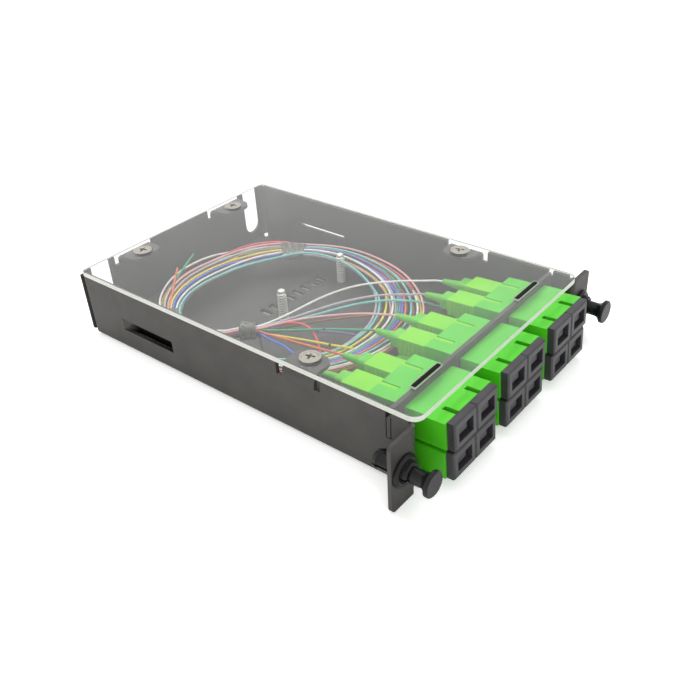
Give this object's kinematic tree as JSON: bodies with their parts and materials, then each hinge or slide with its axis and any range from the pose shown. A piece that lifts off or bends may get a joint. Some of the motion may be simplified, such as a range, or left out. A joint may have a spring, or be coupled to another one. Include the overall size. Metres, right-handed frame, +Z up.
{
  "type": "fibre cassette",
  "caption": "Black folded-steel fibre cassette with a clear cover, green duplex adapters, dust caps and coiled colour-coded fibres inside.",
  "frame": {"origin": "on the floor's underside, midway between the side walls, in the plane of the ears' rear faces", "axes": "+X out of the open front, along the plungers; +Y across to the left ear; +Z up from the floor to the cover"},
  "size_m": [0.1764, 0.13, 0.0299],
  "materials": {
    "black_steel": "fine-textured black powder coat",
    "clear_acrylic": "clear polished acrylic sheet with bright cut edges",
    "nickel_steel": "nickel plated",
    "black_nylon": "moulded, satin",
    "green_plastic": "moulded, satin green",
    "lime_plastic": "moulded, satin light green",
    "green_boot": "moulded soft plastic",
    "dark_cap_plastic": "moulded, fine satin",
    "white_ceramic": "polished ceramic",
    "fibre_jacket": "smooth coloured jacket",
    "dark_tape": "dark semi-gloss tape"
  },
  "bodies": {
    "root": {"tray": "black_steel", "adapter_plate": "black_steel", "cover": "clear_acrylic", "cover_screws": "nickel_steel", "studs": "nickel_steel", "grommet_left": "black_nylon", "grommet_right": "black_nylon", "adapter_lower_1": "green_plastic", "adapter_lower_2": "green_plastic", "adapter_lower_3": "green_plastic", "connector_lower_1": "lime_plastic", "boot_lower_1": "green_boot", "connector_lower_2": "lime_plastic", "boot_lower_2": "green_boot", "connector_lower_3": "lime_plastic", "boot_lower_3": "green_boot", "connector_lower_4": "lime_plastic", "boot_lower_4": "green_boot", "connector_lower_5": "lime_plastic", "boot_lower_5": "green_boot", "connector_lower_6": "lime_plastic", "boot_lower_6": "green_boot", "adapter_upper_1": "green_plastic", "adapter_upper_2": "green_plastic", "adapter_upper_3": "green_plastic", "connector_upper_1": "lime_plastic", "boot_upper_1": "green_boot", "connector_upper_2": "lime_plastic", "boot_upper_2": "green_boot", "connector_upper_3": "lime_plastic", "boot_upper_3": "green_boot", "connector_upper_4": "lime_plastic", "boot_upper_4": "green_boot", "connector_upper_5": "lime_plastic", "boot_upper_5": "green_boot", "connector_upper_6": "lime_plastic", "boot_upper_6": "green_boot", "alignment_sleeves": "white_ceramic", "ferrules": "white_ceramic", "fibre_coil": "fibre_jacket", "fanout_fibres": "fibre_jacket", "wrap_bundle": "dark_tape", "wrap_side": "dark_tape", "wrap_back": "dark_tape"},
    "plunger_left_body": {"plunger_left": "black_nylon"},
    "plunger_right_body": {"plunger_right": "black_nylon"},
    "dust_cap_lower_1_body": {"dust_cap_lower_1": "dark_cap_plastic"},
    "dust_cap_lower_2_body": {"dust_cap_lower_2": "dark_cap_plastic"},
    "dust_cap_lower_3_body": {"dust_cap_lower_3": "dark_cap_plastic"},
    "dust_cap_lower_4_body": {"dust_cap_lower_4": "dark_cap_plastic"},
    "dust_cap_lower_5_body": {"dust_cap_lower_5": "dark_cap_plastic"},
    "dust_cap_lower_6_body": {"dust_cap_lower_6": "dark_cap_plastic"},
    "dust_cap_upper_1_body": {"dust_cap_upper_1": "dark_cap_plastic"},
    "dust_cap_upper_2_body": {"dust_cap_upper_2": "dark_cap_plastic"},
    "dust_cap_upper_3_body": {"dust_cap_upper_3": "dark_cap_plastic"},
    "dust_cap_upper_4_body": {"dust_cap_upper_4": "dark_cap_plastic"},
    "dust_cap_upper_5_body": {"dust_cap_upper_5": "dark_cap_plastic"},
    "dust_cap_upper_6_body": {"dust_cap_upper_6": "dark_cap_plastic"}
  },
  "joints": [
    {"name": "plunger_left_slide", "type": "slide", "parent": "root", "child": "plunger_left_body", "axis": [1, 0, 0], "range_m": [-0.0035, 0]},
    {"name": "plunger_right_slide", "type": "slide", "parent": "root", "child": "plunger_right_body", "axis": [1, 0, 0], "range_m": [-0.0035, 0]},
    {"name": "dust_cap_lower_1_slide", "type": "slide", "parent": "root", "child": "dust_cap_lower_1_body", "axis": [0.9981, 0, 0.061], "range_m": [0, 0.02]},
    {"name": "dust_cap_lower_2_slide", "type": "slide", "parent": "root", "child": "dust_cap_lower_2_body", "axis": [0.9981, 0, 0.061], "range_m": [0, 0.02]},
    {"name": "dust_cap_lower_3_slide", "type": "slide", "parent": "root", "child": "dust_cap_lower_3_body", "axis": [0.9981, 0, 0.061], "range_m": [0, 0.02]},
    {"name": "dust_cap_lower_4_slide", "type": "slide", "parent": "root", "child": "dust_cap_lower_4_body", "axis": [0.9981, 0, 0.061], "range_m": [0, 0.02]},
    {"name": "dust_cap_lower_5_slide", "type": "slide", "parent": "root", "child": "dust_cap_lower_5_body", "axis": [0.9981, 0, 0.061], "range_m": [0, 0.02]},
    {"name": "dust_cap_lower_6_slide", "type": "slide", "parent": "root", "child": "dust_cap_lower_6_body", "axis": [0.9981, 0, 0.061], "range_m": [0, 0.02]},
    {"name": "dust_cap_upper_1_slide", "type": "slide", "parent": "root", "child": "dust_cap_upper_1_body", "axis": [0.9981, 0, 0.061], "range_m": [0, 0.02]},
    {"name": "dust_cap_upper_2_slide", "type": "slide", "parent": "root", "child": "dust_cap_upper_2_body", "axis": [0.9981, 0, 0.061], "range_m": [0, 0.02]},
    {"name": "dust_cap_upper_3_slide", "type": "slide", "parent": "root", "child": "dust_cap_upper_3_body", "axis": [0.9981, 0, 0.061], "range_m": [0, 0.02]},
    {"name": "dust_cap_upper_4_slide", "type": "slide", "parent": "root", "child": "dust_cap_upper_4_body", "axis": [0.9981, 0, 0.061], "range_m": [0, 0.02]},
    {"name": "dust_cap_upper_5_slide", "type": "slide", "parent": "root", "child": "dust_cap_upper_5_body", "axis": [0.9981, 0, 0.061], "range_m": [0, 0.02]},
    {"name": "dust_cap_upper_6_slide", "type": "slide", "parent": "root", "child": "dust_cap_upper_6_body", "axis": [0.9981, 0, 0.061], "range_m": [0, 0.02]}
  ]
}
